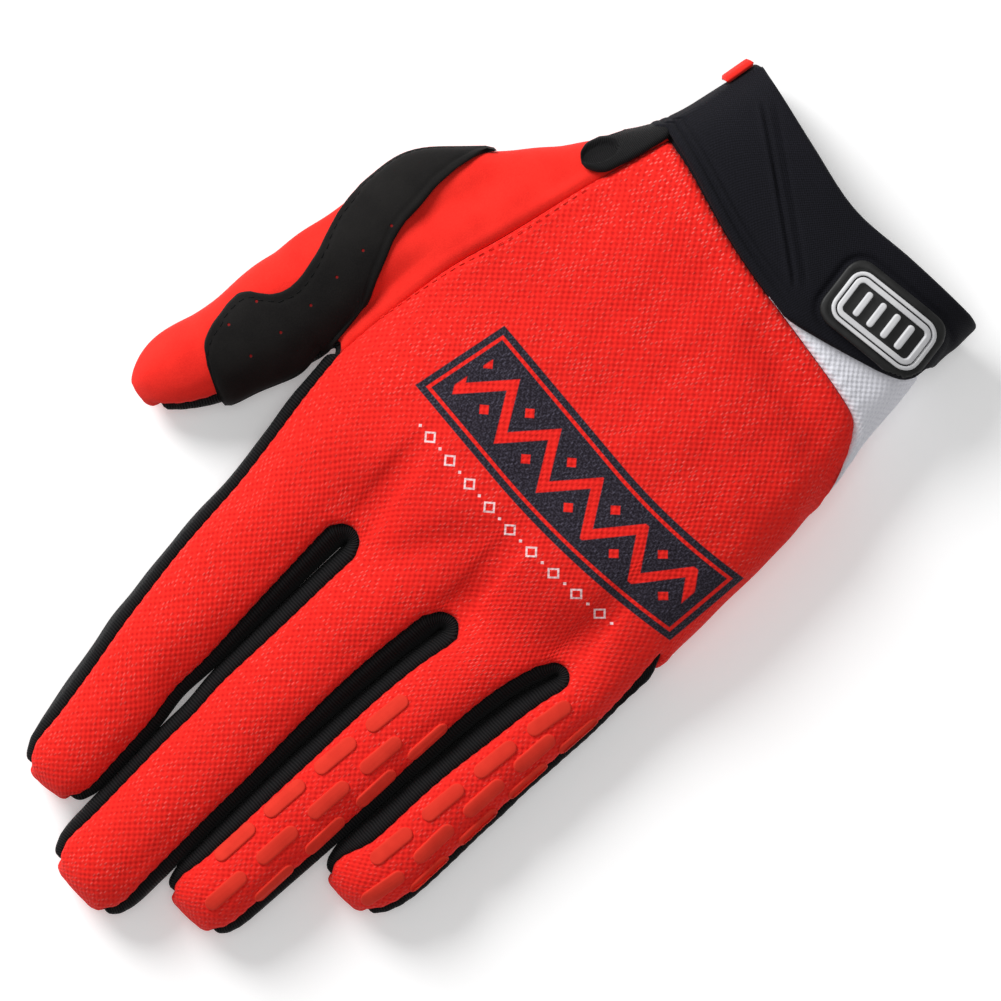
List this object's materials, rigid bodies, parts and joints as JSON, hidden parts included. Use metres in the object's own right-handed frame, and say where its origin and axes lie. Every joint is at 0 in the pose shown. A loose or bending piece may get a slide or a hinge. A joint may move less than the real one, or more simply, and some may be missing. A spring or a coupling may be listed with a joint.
{
  "type": "motocross glove",
  "caption": "Light full finger riding glove for the left hand, knit back, ribbed finger walls, suede thumb patch and padded wrist strap with a moulded badge.",
  "frame": {"origin": "middle of the glove's box at the surface that it lies on, palm down", "axes": "+Y towards the fingertips, +X towards the thumb, +Z out of the back of the hand"},
  "size_m": [0.1264, 0.2232, 0.0281],
  "materials": {
    "red_knit": "matt dimpled knit mesh with pale flecks",
    "red_suede": "matt brushed microfibre",
    "black_rib": "matt ribbed stretch cloth",
    "black_suede": "matt perforated suede",
    "black_knit": "matt fine knit over foam",
    "white_knit": "matt coarse knit",
    "red_rubber": "satin moulded bars",
    "black_rubber": "satin moulded badge",
    "white_rubber": "satin moulded rim"
  },
  "bodies": {
    "root": {"back_panel": "red_knit", "palm_panel": "red_suede", "thumb_back_panel": "red_suede", "thumb_palm_panel": "red_suede", "thumb_overlay": "black_suede", "fourchette_index_middle": "black_rib", "fourchette_middle_ring": "black_rib", "fourchette_ring_little": "black_rib", "index_side_strip": "black_rib", "thumb_side_strip": "black_rib", "little_side_strip": "black_rib", "wrist_gusset": "white_knit", "cuff": "black_knit", "strap": "black_knit", "slit_binding": "black_rib", "pull_tab": "red_suede", "badge_base": "black_rubber", "badge_frame": "white_rubber", "badge_rib_1": "white_rubber", "badge_rib_2": "white_rubber", "badge_rib_3": "white_rubber", "badge_rib_4": "white_rubber", "ring_bar_01": "red_rubber", "ring_bar_02": "red_rubber", "ring_bar_03": "red_rubber", "ring_bar_04": "red_rubber", "ring_bar_05": "red_rubber", "ring_bar_06": "red_rubber", "ring_bar_07": "red_rubber", "ring_bar_08": "red_rubber", "ring_bar_09": "red_rubber", "ring_bar_10": "red_rubber", "ring_bar_11": "red_rubber", "ring_bar_12": "red_rubber", "little_bar_01": "red_rubber", "little_bar_02": "red_rubber", "little_bar_03": "red_rubber", "little_bar_04": "red_rubber", "little_bar_05": "red_rubber", "little_bar_06": "red_rubber", "little_bar_07": "red_rubber", "little_bar_08": "red_rubber", "little_bar_09": "red_rubber", "little_bar_10": "red_rubber", "little_bar_11": "red_rubber", "little_bar_12": "red_rubber"}
  },
  "joints": []
}
